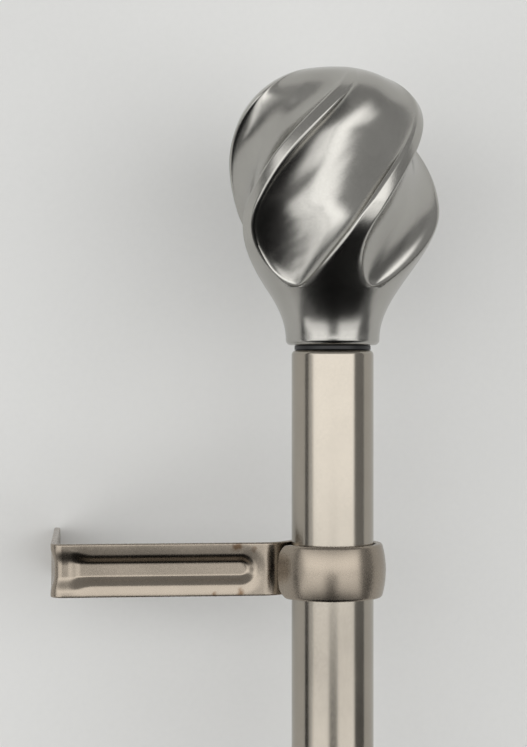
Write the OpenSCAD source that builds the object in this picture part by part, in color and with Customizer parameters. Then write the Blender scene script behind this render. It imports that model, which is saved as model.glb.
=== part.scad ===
// Telescoping curtain rod on two strap brackets, with a twisted fluted finial at each end.
// Millimetres. X runs along the rod, +Y points to the wall and +Z up.
// The origin is on the wall face, at the centre of the four wall screw holes.

/* [Rod] */
// Outside diameter of the outer tube
tube_d = 25.4; // [22:0.1:32]
// Wall of the outer tube
tube_wall = 0.9; // [0.6:0.1:1.2]
// Length of the outer tube
outer_len = 660; // [500:1:1000]
// Gap between the two tubes all round, which the bush and the glide fill
guide_gap = 0.7; // [0.4:0.1:1.6]
// Wall of the inner tube
inner_wall = 0.8; // [0.5:0.1:1.2]
// Length of the inner tube
inner_len = 610; // [400:1:640]
// Bare length of the inner tube at rest
exposed_len = 156; // [90:1:360]
// Outside radius of the rolled edge at each tube's finial end
roll_r = 1.6; // [1.3:0.1:2.4]

/* [Brackets] */
// Rod axis to the wall
projection = 87; // [60:1:140]
// Centre of each bracket to the end of its tube
overhang = 68; // [30:1:120]
// Width of the bracket strip
strip_w = 16.5; // [14:0.5:24]
// Thickness of the bracket strip
strip_t = 2; // [1.5:0.1:3]
// Radial clearance between the outer tube and the ring's edges
ring_clear = 0.9; // [0.4:0.1:2]
// How far the ring sits off the rod axis, towards the wall
ring_shift = 0.6; // [0:0.1:0.6]
// How far the ring's middle bulges past its edges
ring_crown = 1.2; // [0.6:0.1:2]
// Angle above the arm at which the ring's curl stops
lip_angle = 31; // [28:1:50]
// Length of the flat lip that ends the ring
lip_len = 4.5; // [1:0.5:5]
// Angle below the arm at which the ring leaves the neck bend
neck_angle = 28; // [20:1:35]
// Middle radius of the neck bend between the arm and the ring
neck_r = 8; // [5:0.5:10]
// Outside radius of the bend at the wall
wall_bend_r = 4; // [3.5:0.5:7]
// Height of the wall plate, from the top of the arm
plate_h = 64.4; // [56:0.1:90]
// Corner radius at the foot of the wall plate
plate_corner_r = 4; // [1:0.5:7]

/* [Stiffening bead] */
// Width of the bead's flat floor
bead_floor_w = 3.5; // [2:0.5:6]
// Width of the bead at the face of the strip
bead_top_w = 9.6; // [8:0.1:12]
// Depth of the bead
bead_depth = 2.4; // [1:0.1:2.6]
// Centre of the bead's round end on the arm, from where the neck bend starts
bead_gap = 6.9; // [6:0.1:20]
// Centre of the bead's round end on the plate, below the top of the arm
bead_drop = 8; // [7:0.5:10]

/* [Wall holes] */
// Diameter of a wall screw hole
wall_hole_d = 5; // [3.5:0.5:6]
// Distance between the two wall screw holes of a plate
wall_hole_gap = 32; // [26:1:36]
// Foot of the plate to the lower hole
foot_margin = 12; // [8:0.5:16]

/* [Finials] */
// Height of a finial
finial_h = 85.6; // [70:0.1:120]
// Radius of its base
base_r = 14.5; // [13.5:0.1:18]
// Radius of its widest part, over the ridges
belly_r = 33.2; // [26:0.1:45]
// Height of the widest part
belly_h = 43; // [30:1:60]
// Edge radius of the base
base_edge_r = 1.6; // [0.5:0.1:3]
// Number of flutes
flute_count = 5; // [4:1:8]
// Greatest depth of a flute
flute_depth = 7.2; // [3:0.1:8]
// Height at which the flutes start
flute_start = 17.2; // [14:0.1:24]
// Height over which they widen to full width
flute_run_in = 20; // [10:1:30]
// Height at which they start to fade towards the tip
flute_fade = 64; // [44:1:68]
// Share of each turn division that a flute takes
flute_share = 0.84; // [0.6:0.01:0.9]
// Twist at the start of the flutes, in degrees a millimetre
twist_rate = 0.65; // [0:0.01:1.5]
// How fast the twist quickens, in degrees a square millimetre
twist_gain = 0.0112; // [0:0.0001:0.03]

/* [Fastenings] */
// Diameter of a finial stud
stud_d = 5.9; // [4.9:0.1:7.9]
// Length of the stud inside the rod's end
stud_in = 11.5; // [9:0.5:16]
// Length of the stud inside the finial
stud_out = 14; // [10:0.5:18]
// Outside diameter of the finial's threaded insert
insert_d = 9; // [8.5:0.5:12]
// Length of the insert
insert_len = 12; // [8:0.5:14]
// Hexagon nut, across its flats
nut_af = 10; // [9:0.5:13]
// Height of the nut
nut_h = 5; // [4:0.5:6.5]
// Length of an end plug's barrel
plug_len = 12; // [10:0.5:20]
// Thickness of its flange
plug_flange = 1.4; // [0.8:0.1:3]
// Diameter of a set screw
set_d = 3.9; // [2.9:0.1:5.9]
// Length of its shank
set_len = 8; // [7:0.5:12]
// Diameter of its head
set_head_d = 7; // [5:0.5:9]
// Height of its head
set_head_h = 2.4; // [1.5:0.1:3.5]

/* [Tube guides] */
// Length of the bush in the outer tube's mouth
bush_len = 15; // [8:1:30]
// Thickness of its flange
bush_flange = 1.2; // [0.8:0.1:2]
// Length of the glide ring on the inner tube's hidden end
glide_len = 12; // [8:1:30]
// Length of the glide's stem inside the inner tube
glide_stem = 14; // [8:1:30]

/* [Hidden] */
$fn = 96;

seat = 0.05;      // gap between a piece and what it is pressed or screwed into
slip = 0.1;       // gap between pieces that slide on each other
cut = 1;          // how far a cutter runs past what it cuts
skin = 0.01;      // overlap that joins two shapes of one piece
overlap_angle = 0.5; // the same, where a bend runs into what it joins
neck_overlap = 4; // the same, where the neck runs into the bowed ring
ring_squeeze = 0.1; // how far the press draws in each edge of the ring

tube_r = tube_d / 2;
tube_bore = tube_r - tube_wall;
inner_r = tube_bore - guide_gap;
inner_bore = inner_r - inner_wall;
stud_r = stud_d / 2;
set_r = set_d / 2;

rod_len = outer_len + exposed_len;
bracket_x = rod_len / 2 - overhang;
rod_y = -projection;

// heights: the wall holes' centre is at zero, and the arm hangs the rod above it
plate_foot = -wall_hole_gap / 2 - foot_margin;
arm_top = plate_foot + plate_h;
ring_y = rod_y + ring_shift;
ring_edge_r = tube_r + ring_clear + ring_shift / 2;
ring_mid_r = ring_edge_r + ring_crown / 2 + strip_t / 2;
neck_reach = (ring_mid_r + neck_r) * cos(neck_angle);
bead_end = neck_reach + bead_gap;
neck_fall = (ring_mid_r + neck_r) * sin(neck_angle) - neck_r;
rod_z = arm_top - strip_t / 2 + neck_fall;
crown_r = (pow(strip_w / 2, 2) + pow(ring_crown, 2)) / (2 * ring_crown);

// the bead's flanks: how much wider its back is than its face, for a strip of even thickness
flank = atan(2 * bead_depth / (bead_top_w - bead_floor_w));
bead_back = strip_t * tan(flank / 2);

module along_x() {
    rotate([0, 90, 0]) children();
}

// places a piece made along +Z, with its foot at zero, on the finial end of either tube
module at_end(side) {
    translate([side * rod_len / 2, rod_y, rod_z])
        rotate([0, side * 90, 0]) children();
}

// turns a drawing whose axes are towards the wall and up, and runs it across the strip
module across(w) {
    rotate([90, 0, 90]) linear_extrude(w, center = true) children();
}

module ring_sector(r_mid, t, from, to) {
    reach = 2 * (r_mid + t);
    intersection() {
        difference() {
            circle(r = r_mid + t / 2);
            circle(r = r_mid - t / 2);
        }
        polygon(concat([[0, 0]], [for (i = [0:4]) let (a = from + (to - from) * i / 4)
            [reach * cos(a), reach * sin(a)]]));
    }
}

// ---- tubes ----

// a tube along +Z that ends at zero in an edge rolled inwards
module rolled_tube(len, r, wall) {
    rotate_extrude() {
        translate([r - wall, -len]) square([wall, len - roll_r + skin]);
        translate([r - roll_r, -roll_r]) intersection() {
            difference() {
                circle(r = roll_r);
                circle(r = roll_r - wall);
            }
            square(roll_r);
        }
    }
}

module outer_tube() {
    color("#b5a897") at_end(1) rolled_tube(outer_len, tube_r, tube_wall);
}

module inner_tube() {
    color("#b5a897") at_end(-1) rolled_tube(inner_len, inner_r, inner_wall);
}

module mouth_bush() {
    mouth_x = rod_len / 2 - outer_len;
    color("#8d8a86") translate([mouth_x, rod_y, rod_z]) along_x() difference() {
        union() {
            cylinder(h = bush_len, r = tube_bore - seat);
            translate([0, 0, -bush_flange - seat]) cylinder(h = bush_flange, r = tube_r - slip);
            translate([0, 0, -seat - skin]) cylinder(h = seat + 2 * skin, r = tube_bore - seat);
        }
        translate([0, 0, -bush_flange - cut])
            cylinder(h = bush_len + bush_flange + 2 * cut, r = inner_r + slip);
    }
}

module tube_glide() {
    glide_x = inner_len - rod_len / 2;
    color("#e6e4df") translate([glide_x, rod_y, rod_z]) along_x() difference() {
        union() {
            translate([0, 0, seat]) cylinder(h = glide_len, r = tube_bore - slip);
            translate([0, 0, -glide_stem]) cylinder(h = glide_stem + 2 * seat, r = inner_bore - seat);
        }
        translate([0, 0, -glide_stem - cut])
            cylinder(h = glide_stem + glide_len + 2 * cut, r = inner_bore - 2 * inner_wall);
    }
}

// ---- rod ends ----

// a plug that fills the tube's end: barrel, neck through the rolled edge, and flange on top of it
module end_plug(r, wall) {
    mouth_r = r - roll_r;
    difference() {
        union() {
            translate([0, 0, -plug_len]) cylinder(h = plug_len - roll_r - seat, r = r - wall - seat);
            translate([0, 0, -roll_r - 2 * seat]) cylinder(h = roll_r + 3 * seat, r = mouth_r - seat);
            translate([0, 0, seat]) cylinder(h = plug_flange - seat, r = r - wall);
        }
        translate([0, 0, -plug_len - cut]) cylinder(h = plug_len + plug_flange + 2 * cut, r = stud_r + slip);
        translate([0, 0, -plug_len - cut]) hexagon(nut_af + 2 * seat, nut_h + seat + cut);
    }
}

module hexagon(af, h) {
    cylinder(h = h, r = af / 2 / cos(30), $fn = 6);
}

module right_end_plug() {
    color("#1b1b1d") at_end(1) end_plug(tube_r, tube_wall);
}

module left_end_plug() {
    color("#1b1b1d") at_end(-1) end_plug(inner_r, inner_wall);
}

module hex_nut() {
    translate([0, 0, -plug_len]) difference() {
        hexagon(nut_af, nut_h);
        translate([0, 0, -cut]) cylinder(h = nut_h + 2 * cut, r = stud_r + seat);
    }
}

module right_nut() {
    color("#a9abad") at_end(1) hex_nut();
}

module left_nut() {
    color("#a9abad") at_end(-1) hex_nut();
}

stud_point = 0.8;    // length of the stud's pointed end

module stud() {
    translate([0, 0, -stud_in]) {
        cylinder(h = stud_point, r1 = stud_r - stud_point, r2 = stud_r);
        translate([0, 0, stud_point])
            cylinder(h = stud_in + plug_flange + stud_out - stud_point, r = stud_r);
    }
}

module right_stud() {
    color("#a9abad") at_end(1) stud();
}

module left_stud() {
    color("#a9abad") at_end(-1) stud();
}

// ---- finials ----

finial_foot = plug_flange + slip;

module threaded_insert() {
    translate([0, 0, finial_foot + seat]) difference() {
        cylinder(h = insert_len, r = insert_d / 2);
        translate([0, 0, -cut]) cylinder(h = insert_len + 2 * cut, r = stud_r + seat);
    }
}

module right_insert() {
    color("#c9a44c") at_end(1) threaded_insert();
}

module left_insert() {
    color("#c9a44c") at_end(-1) threaded_insert();
}

// the finial's outline as [height, radius]: a rounded foot, a flared neck and a blunt dome
flare_start = 0.39;   // how far up to the belly the neck stays narrow
flare_end = 0.63;     // and where it has opened out
dome_drop = 11.1;     // how far below the tip the dome starts to close: less is squarer
dome_width = 22.8;    // how wide its blunt top is drawn
fade_past = 6;        // how far past the tip the fading of the flutes would end
flute_bottom = 2.4;   // how flat a flute's floor is
flute_wall = 0.7;     // how sharply its walls meet the ridges: less is sharper
function bezier(a, b, c, d, u) =
    pow(1 - u, 3) * a + 3 * pow(1 - u, 2) * u * b + 3 * (1 - u) * u * u * c + pow(u, 3) * d;
function foot_point(u) =
    [base_edge_r * (1 - cos(90 * u)), base_r - base_edge_r * (1 - sin(90 * u))];
function neck_point(u) = bezier(
    [base_edge_r, base_r], [belly_h * flare_start, base_r],
    [belly_h * flare_end, belly_r], [belly_h, belly_r], u);
function dome_point(u) = bezier(
    [belly_h, belly_r], [finial_h - dome_drop, belly_r], [finial_h, dome_width], [finial_h, 0], u);

foot_rings = 3;
neck_rings = 18;
dome_rings = 16;
sides = 80;
outline = concat(
    [for (i = [0:foot_rings - 1]) foot_point(i / foot_rings)],
    [for (i = [0:neck_rings - 1]) neck_point(i / neck_rings)],
    [for (i = [0:dome_rings - 1]) dome_point(i / dome_rings)]);

function clamp01(x) = min(1, max(0, x));
function ease(x) = let (c = clamp01(x)) c * c * (3 - 2 * c);
function twist(h) = let (d = max(0, h - flute_start)) twist_rate * d + twist_gain * d * d;
// half the width of a flute at a height, as a share of its full width
function run_in(h) =
    let (d = clamp01((flute_start + flute_run_in - h) / flute_run_in)) sqrt(max(0, 1 - d * d));
function fade_out(h) = 1 - ease((h - flute_fade) / (finial_h + fade_past - flute_fade));
function scoop(share) = share >= 1 ? 0 : pow(1 - pow(share, flute_bottom), flute_wall);
function flute_radius(h, r, angle) =
    let (
        pitch = 360 / flute_count,
        turned = angle - twist(h),
        off = abs(turned - pitch * round(turned / pitch)) / (pitch / 2),
        width = max(0.001, flute_share * run_in(h)),
        depth = flute_depth * (r / belly_r) * run_in(h) * fade_out(h)
    )
    h <= flute_start ? r : r - depth * scoop(off / width);

// the first flute's angle round the rod, so that a flute faces the way the finial is looked at from
first_flute = -5.5;

function finial_points() = concat(
    [for (p = outline) for (k = [0:sides - 1])
        let (a = 360 * k / sides, r = flute_radius(p[0], p[1], a - first_flute))
        [r * cos(a), r * sin(a), p[0]]],
    [[0, 0, 0], [0, 0, finial_h]]);

function finial_faces() =
    let (rings = len(outline), foot = rings * sides, tip = foot + 1)
    concat(
        [for (j = [0:rings - 2]) for (k = [0:sides - 1])
            let (a = j * sides + k, b = j * sides + (k + 1) % sides)
            each [[a, a + sides, b], [b, a + sides, b + sides]]],
        [for (k = [0:sides - 1]) [foot, k, (k + 1) % sides]],
        [for (k = [0:sides - 1])
            [tip, (rings - 1) * sides + (k + 1) % sides, (rings - 1) * sides + k]]);

module finial() {
    translate([0, 0, finial_foot]) difference() {
        polyhedron(points = finial_points(), faces = finial_faces(), convexity = 4);
        translate([0, 0, -cut]) cylinder(h = cut + insert_len + 2 * seat, r = insert_d / 2 + seat);
        translate([0, 0, -cut]) cylinder(h = cut + stud_out + seat, r = stud_r + slip);
    }
}

module right_finial() {
    color("#9a9892") at_end(1) finial();
}

module left_finial() {
    color("#9a9892") at_end(-1) finial();
}

// ---- brackets ----

// the strip's section in the ring: an even strip, bowed outwards, as [radius, width]
bow_steps = 8;
ring_w = strip_w - 2 * ring_squeeze;
function bow(side, r) = let (x = side * ring_w / 2)
    [ring_edge_r + ring_crown - crown_r + sqrt(r * r - x * x), x];

module crowned_section() {
    polygon(concat(
        [for (i = [0:bow_steps]) bow(1 - 2 * i / bow_steps, crown_r)],
        [for (i = [0:bow_steps]) bow(2 * i / bow_steps - 1, crown_r + strip_t)]));
}

module ring() {
    translate([0, ring_y, rod_z]) rotate([90, 0, 90]) rotate([0, 0, lip_angle]) {
        rotate_extrude(angle = 360 - lip_angle - neck_angle) crowned_section();
        rotate([90, 0, 0]) linear_extrude(lip_len) crowned_section();
    }
}

module plate() {
    h = plate_h - wall_bend_r;
    across_corners = strip_w - 2 * plate_corner_r;
    translate([0, 0, plate_foot]) rotate([90, 0, 0]) linear_extrude(strip_t) {
        translate([-strip_w / 2, plate_corner_r]) square([strip_w, h - plate_corner_r + skin]);
        translate([-across_corners / 2, 0]) square([across_corners, h]);
        for (side = [-1, 1])
            translate([side * across_corners / 2, plate_corner_r]) circle(r = plate_corner_r);
    }
}

module arm() {
    neck_y = ring_y + neck_reach;
    across(strip_w) {
        translate([-wall_bend_r, arm_top - wall_bend_r])
            ring_sector(wall_bend_r - strip_t / 2, strip_t, -overlap_angle, 90 + overlap_angle);
        translate([neck_y, arm_top - strip_t])
            square([-wall_bend_r - neck_y + skin, strip_t]);
        translate([neck_y, arm_top - strip_t / 2 - neck_r])
            ring_sector(neck_r, strip_t, 90 - overlap_angle, 180 - neck_angle + neck_overlap);
    }
}

// a bead along +Z that ends in a half round at zero; its outline is [across, up], for one side
module bead_run(run, side) {
    linear_extrude(run)
        polygon(concat(side, [for (i = [len(side) - 1:-1:0]) [-side[i][0], side[i][1]]]));
    rotate([-90, 0, 0]) rotate_extrude(angle = 180)
        polygon(concat(side, [[0, side[len(side) - 1][1]], [0, side[0][1]]]));
}

module bead_trough(run) {
    bead_run(run, [
        [bead_top_w / 2, cut],
        [bead_top_w / 2, 0],
        [bead_floor_w / 2, -bead_depth]]);
}

module bead_back(run) {
    bead_run(run, [
        [bead_top_w / 2 + bead_back, -strip_t / 2],
        [bead_top_w / 2 + bead_back, -strip_t],
        [bead_floor_w / 2 + bead_back, -strip_t - bead_depth]]);
}

arm_bead_y = ring_y + bead_end;

// along the arm, open towards the wall
module on_arm() {
    translate([0, arm_bead_y, arm_top]) rotate([90, 0, 180]) children();
}

// up the plate, open at the top
module on_plate() {
    translate([0, 0, arm_top - bead_drop]) children();
}

module bracket() {
    difference() {
        union() {
            plate();
            arm();
            ring();
            on_arm() bead_back(-arm_bead_y - bead_depth);
            on_plate() bead_back(bead_drop - bead_depth);
        }
        on_arm() bead_trough(-arm_bead_y + cut);
        on_plate() bead_trough(bead_drop + cut);
        for (side = [-1, 1])
            translate([0, cut, side * wall_hole_gap / 2]) rotate([90, 0, 0])
                cylinder(h = strip_t + 2 * cut, r = wall_hole_d / 2);
        translate([0, rod_y, rod_z - ring_edge_r - ring_crown - strip_t - cut])
            cylinder(h = strip_t + ring_crown + 2 * cut, r = set_r + seat);
    }
}

module right_bracket() {
    color("#b0a08c") translate([bracket_x, 0, 0]) bracket();
}

module left_bracket() {
    color("#b0a08c") translate([-bracket_x, 0, 0]) bracket();
}

// ---- set screws ----

set_tip = 0.6;        // length of the shank's pointed end
cross_w = 1;          // the cross recess in the head: width, depth, and length as a share of the head
cross_deep = 1.3;
cross_share = 0.64;

// a pan head screw that points up at the tube of radius r
module set_screw(r) {
    translate([0, rod_y, rod_z - r - seat - set_len]) difference() {
        union() {
            cylinder(h = set_len - set_tip, r = set_r);
            translate([0, 0, set_len - set_tip]) cylinder(h = set_tip, r1 = set_r, r2 = set_r - set_tip);
            translate([0, 0, -set_head_h]) cylinder(h = set_head_h, r = set_head_d / 2);
        }
        for (turn = [0, 90])
            rotate([0, 0, turn])
                translate([-set_head_d * cross_share / 2, -cross_w / 2, -set_head_h - cut])
                    cube([set_head_d * cross_share, cross_w, cross_deep + cut]);
    }
}

module right_set_screw() {
    color("#8f8d8a") translate([bracket_x, 0, 0]) set_screw(tube_r);
}

module left_set_screw() {
    color("#8f8d8a") translate([-bracket_x, 0, 0]) set_screw(inner_r);
}

outer_tube();
inner_tube();
mouth_bush();
tube_glide();
right_end_plug();
left_end_plug();
right_nut();
left_nut();
right_stud();
left_stud();
right_insert();
left_insert();
right_finial();
left_finial();
right_bracket();
left_bracket();
right_set_screw();
left_set_screw();
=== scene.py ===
"""Adjustable curtain rod on two strap brackets, with a twisted fluted finial at each end.

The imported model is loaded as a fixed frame. The pieces that show are built again here as fine
meshes in the same places, and every piece gets its finish.
"""
import logging
import math
from dataclasses import dataclass, field, replace
from enum import Enum
from typing import Iterable, Sequence

import bmesh
import bpy
from mathutils import Matrix, Vector


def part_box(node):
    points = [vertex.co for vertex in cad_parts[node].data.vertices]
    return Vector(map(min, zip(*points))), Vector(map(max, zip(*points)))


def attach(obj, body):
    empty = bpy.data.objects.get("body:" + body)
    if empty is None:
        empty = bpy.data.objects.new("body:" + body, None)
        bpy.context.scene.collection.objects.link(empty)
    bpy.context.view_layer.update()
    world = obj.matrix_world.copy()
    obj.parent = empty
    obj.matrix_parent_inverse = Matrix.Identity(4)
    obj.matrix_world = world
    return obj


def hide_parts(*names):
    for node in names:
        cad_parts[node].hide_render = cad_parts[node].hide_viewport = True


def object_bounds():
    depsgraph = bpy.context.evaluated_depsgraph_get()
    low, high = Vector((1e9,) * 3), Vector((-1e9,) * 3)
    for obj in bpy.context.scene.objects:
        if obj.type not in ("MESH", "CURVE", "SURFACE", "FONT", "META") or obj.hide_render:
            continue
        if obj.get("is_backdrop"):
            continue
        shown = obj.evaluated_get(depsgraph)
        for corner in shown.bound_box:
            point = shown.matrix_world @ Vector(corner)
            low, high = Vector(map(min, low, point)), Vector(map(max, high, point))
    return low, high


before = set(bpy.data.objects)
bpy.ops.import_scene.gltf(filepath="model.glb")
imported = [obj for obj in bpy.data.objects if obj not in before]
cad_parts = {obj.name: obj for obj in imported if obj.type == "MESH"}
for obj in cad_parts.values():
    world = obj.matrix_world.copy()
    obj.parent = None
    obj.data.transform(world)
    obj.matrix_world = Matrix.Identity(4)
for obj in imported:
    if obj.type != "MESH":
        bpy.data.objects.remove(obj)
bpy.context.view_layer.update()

log = logging.getLogger("curtain_rod")
MM = 0.001
Pair = tuple[float, float]


# ---- node graphs ----

@dataclass(frozen=True)
class Term:
    """A number that a node graph works out, which can be used in ordinary arithmetic."""

    graph: "Graph"
    socket: bpy.types.NodeSocket

    def _with(self, operation: str, *others: "Term | float") -> "Term":
        """Applies a math node to this number and others."""
        return self.graph.math(operation, self, *others)

    def __add__(self, other: "Term | float") -> "Term":
        """Adds."""
        return self._with("ADD", other)

    def __sub__(self, other: "Term | float") -> "Term":
        """Subtracts."""
        return self._with("SUBTRACT", other)

    def __mul__(self, other: "Term | float") -> "Term":
        """Multiplies."""
        return self._with("MULTIPLY", other)

    def __truediv__(self, other: "Term | float") -> "Term":
        """Divides."""
        return self._with("DIVIDE", other)

    def __rsub__(self, other: float) -> "Term":
        """Subtracts this number from a plain one."""
        return self.graph.math("SUBTRACT", other, self)

    __radd__ = __add__
    __rmul__ = __mul__

    def power(self, exponent: "Term | float") -> "Term":
        """Raises to a power."""
        return self._with("POWER", exponent)

    def magnitude(self) -> "Term":
        """Drops the sign."""
        return self._with("ABSOLUTE")

    def root(self) -> "Term":
        """Takes the square root."""
        return self._with("SQRT")

    def at_least(self, floor: "Term | float") -> "Term":
        """Keeps the larger of two numbers."""
        return self._with("MAXIMUM", floor)

    def at_most(self, ceiling: "Term | float") -> "Term":
        """Keeps the smaller of two numbers."""
        return self._with("MINIMUM", ceiling)

    def clamped(self) -> "Term":
        """Keeps the number between 0 and 1."""
        return self.at_least(0.0).at_most(1.0)

    def below(self, limit: "Term | float") -> "Term":
        """Gives 1 where the number is under a limit, and 0 elsewhere."""
        return self._with("LESS_THAN", limit)

    def eased(self) -> "Term":
        """Turns 0 to 1 into a soft step."""
        c = self.clamped()
        return c * c * (3.0 - 2.0 * c)

    def step(self, start: float, end: float) -> "Term":
        """A soft step from 0 at start to 1 at end, which may lie either way round."""
        return ((self - start) / (end - start)).eased()


class Graph:
    """Builds a node tree with short calls."""

    def __init__(self, tree: bpy.types.NodeTree) -> None:
        """Starts on a tree and empties it.

        Args:
            tree: The node tree to fill.
        """
        self.tree = tree
        tree.nodes.clear()

    def node(self, kind: str, **settings: object) -> bpy.types.Node:
        """Adds a node.

        Args:
            kind: The node's type name.
            **settings: Properties to set on it.

        Returns:
            The new node.
        """
        made = self.tree.nodes.new(kind)
        for name, value in settings.items():
            setattr(made, name, value)
        return made

    def feed(self, socket: bpy.types.NodeSocket, value: object) -> None:
        """Links a term or an output to an input, or sets the input to a plain value.

        Args:
            socket: The input.
            value: A Term, an output socket or a value.
        """
        if isinstance(value, Term):
            value = value.socket
        if isinstance(value, bpy.types.NodeSocket):
            self.tree.links.new(value, socket)
        else:
            socket.default_value = value

    def math(self, operation: str, *operands: "Term | float") -> Term:
        """Adds a math node.

        Args:
            operation: The node's operation.
            *operands: Up to three numbers.

        Returns:
            The result.
        """
        made = self.node("ShaderNodeMath", operation=operation)
        for socket, value in zip(made.inputs, operands):
            self.feed(socket, value)
        return Term(self, made.outputs[0])

    def split(self, vector: bpy.types.NodeSocket) -> tuple[Term, Term, Term]:
        """Takes a vector apart.

        Args:
            vector: An output that holds a vector.

        Returns:
            Its three components.
        """
        made = self.node("ShaderNodeSeparateXYZ")
        self.feed(made.inputs[0], vector)
        return tuple(Term(self, out) for out in made.outputs)

    def joined(self, x: object, y: object, z: object) -> bpy.types.NodeSocket:
        """Puts three numbers together as a vector.

        Args:
            x: First component.
            y: Second component.
            z: Third component.

        Returns:
            The vector's socket.
        """
        made = self.node("ShaderNodeCombineXYZ")
        for socket, value in zip(made.inputs, (x, y, z)):
            self.feed(socket, value)
        return made.outputs[0]


# ---- finishes ----

class Slot(Enum):
    """The record's material slots."""

    TUBE = "nickel_tube"
    STRAP = "nickel_strap"
    CASTING = "nickel_casting"
    SCREW = "nickel_screw"
    ZINC = "zinc_steel"
    BRASS = "brass"
    BLACK = "black_plastic"
    GREY = "grey_nylon"
    WHITE = "white_nylon"


Colour = tuple[float, float, float]


def shaded(colour: Colour, share: float) -> tuple[float, float, float, float]:
    """Scales a linear colour's brightness, and adds an alpha of 1."""
    return (colour[0] * share, colour[1] * share, colour[2] * share, 1.0)


@dataclass(frozen=True)
class Finish:
    """A surface with fine grain, slow patches of tone and, on metal, brushing in one direction."""

    name: str
    colour: Colour
    metallic: float = 1.0
    roughness: float = 0.3
    grain_size: float = 0.25 * MM
    grain_bump: float = 0.02 * MM
    tone_swing: float = 0.05
    patch_size: float = 12 * MM
    wave_size: float = 9 * MM
    wave_bump: float = 0.0
    wave_turn: float = 0.0
    wave_stretch: tuple[float, float, float] = (4.5, 0.8, 1.2)
    brush: tuple[float, float, float] | None = None
    brush_bump: float = 0.0
    brush_scale: float = 1.6
    speckle_scale: float = 3.1
    speckle_bump: float = 0.8
    slow_share: float = 0.6
    patch_roughness: float = 0.06
    speckle_roughness: float = 0.08

    def noise(self, g: Graph, where: object, size: float, detail: float = 2.0) -> Term:
        """A noise texture on the surface's own coordinates.

        Args:
            g: The graph to build in.
            where: A vector socket.
            size: The size of its spots.
            detail: How many finer layers it has.

        Returns:
            Its value, about 0.5 on average.
        """
        made = g.node("ShaderNodeTexNoise")
        g.feed(made.inputs["Vector"], where)
        made.inputs["Scale"].default_value = 1.0 / size
        made.inputs["Detail"].default_value = detail
        return Term(g, made.outputs["Fac"])

    def mix(self, g: Graph, share: Term, low: object, high: object) -> bpy.types.NodeSocket:
        """Blends two colours.

        Args:
            g: The graph to build in.
            share: 0 for the first colour, 1 for the second.
            low: The first colour, or a socket.
            high: The second colour, or a socket.

        Returns:
            The blended colour's socket.
        """
        made = g.node("ShaderNodeMix", data_type="RGBA")
        g.feed(made.inputs[0], share)
        g.feed(made.inputs[6], low)
        g.feed(made.inputs[7], high)
        return made.outputs[2]

    def marks(self, g: Graph, where: object, colour: object) -> object:
        """Adds stains or wear to the colour; a plain finish has none."""
        return colour

    def build(self) -> bpy.types.Material:
        """Makes the material.

        Returns:
            The material.
        """
        material = bpy.data.materials.new(self.name)
        material.use_nodes = True
        g = Graph(material.node_tree)
        where = g.node("ShaderNodeTexCoord").outputs["Object"]
        patches = self.noise(g, where, self.patch_size, 3.0)
        grain = self.noise(g, where, self.grain_size, 3.0)
        speckle = self.noise(g, where, self.grain_size * self.speckle_scale, 2.0)
        height = grain * self.grain_bump + speckle * (self.grain_bump * self.speckle_bump)
        tone = patches * self.slow_share + speckle * (1 - self.slow_share)
        if self.wave_bump:
            along = g.node("ShaderNodeMapping", vector_type="TEXTURE")
            g.feed(along.inputs["Vector"], where)
            along.inputs["Rotation"].default_value = (0.0, 0.0, self.wave_turn)
            along.inputs["Scale"].default_value = self.wave_stretch
            height = height + self.noise(g, along.outputs[0], self.wave_size, 1.0) * self.wave_bump
        if self.brush:
            stretch = g.node("ShaderNodeMapping")
            g.feed(stretch.inputs["Vector"], where)
            stretch.inputs["Scale"].default_value = self.brush
            lines = self.noise(g, stretch.outputs[0], self.grain_size * self.brush_scale, 4.0)
            height = height + lines * self.brush_bump
            tone = tone * self.slow_share + lines * (1 - self.slow_share)
        colour = self.mix(g, tone.step(0.3, 0.7), shaded(self.colour, 1 - self.tone_swing),
                          shaded(self.colour, 1 + self.tone_swing))
        shader = g.node("ShaderNodeBsdfPrincipled")
        g.feed(shader.inputs["Base Color"], self.marks(g, where, colour))
        shader.inputs["Metallic"].default_value = self.metallic
        lowest = self.roughness - (self.patch_roughness + self.speckle_roughness) / 2
        g.feed(shader.inputs["Roughness"],
               patches * self.patch_roughness + speckle * self.speckle_roughness + lowest)
        bump = g.node("ShaderNodeBump")
        bump.inputs["Distance"].default_value = 1.0
        g.feed(bump.inputs["Height"], height)
        g.feed(shader.inputs["Normal"], bump.outputs[0])
        out = g.node("ShaderNodeOutputMaterial")
        g.feed(out.inputs["Surface"], shader.outputs[0])
        return material


@dataclass(frozen=True)
class StrapFinish(Finish):
    """Plated strip with tarnish stains near the neck, where the plate stretched as it was bent."""

    stains: tuple[tuple[float, float, float, float], ...] = ()
    stain_colour: Colour = (0.12, 0.065, 0.03)
    stain_strength: float = 0.8
    stain_edge: Pair = (1.0, 0.2)
    ragged_size: float = 1.6 * MM
    ragged_swing: float = 1.6

    def marks(self, g: Graph, where: object, colour: object) -> object:
        """Adds a ragged brown stain at each place in stains, which hold x, y, z and a radius."""
        ragged = self.noise(g, where, self.ragged_size, 5.0)
        x, y, z = g.split(where)
        for sx, sy, sz, radius in self.stains:
            dx, dy, dz = x - sx, y - sy, z - sz
            distance = (dx * dx + dy * dy + dz * dz).root() / radius
            torn = distance + (ragged - 0.5) * self.ragged_swing
            amount = torn.step(*self.stain_edge) * self.stain_strength
            colour = self.mix(g, amount, colour, shaded(self.stain_colour, 1.0))
        return colour


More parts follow.
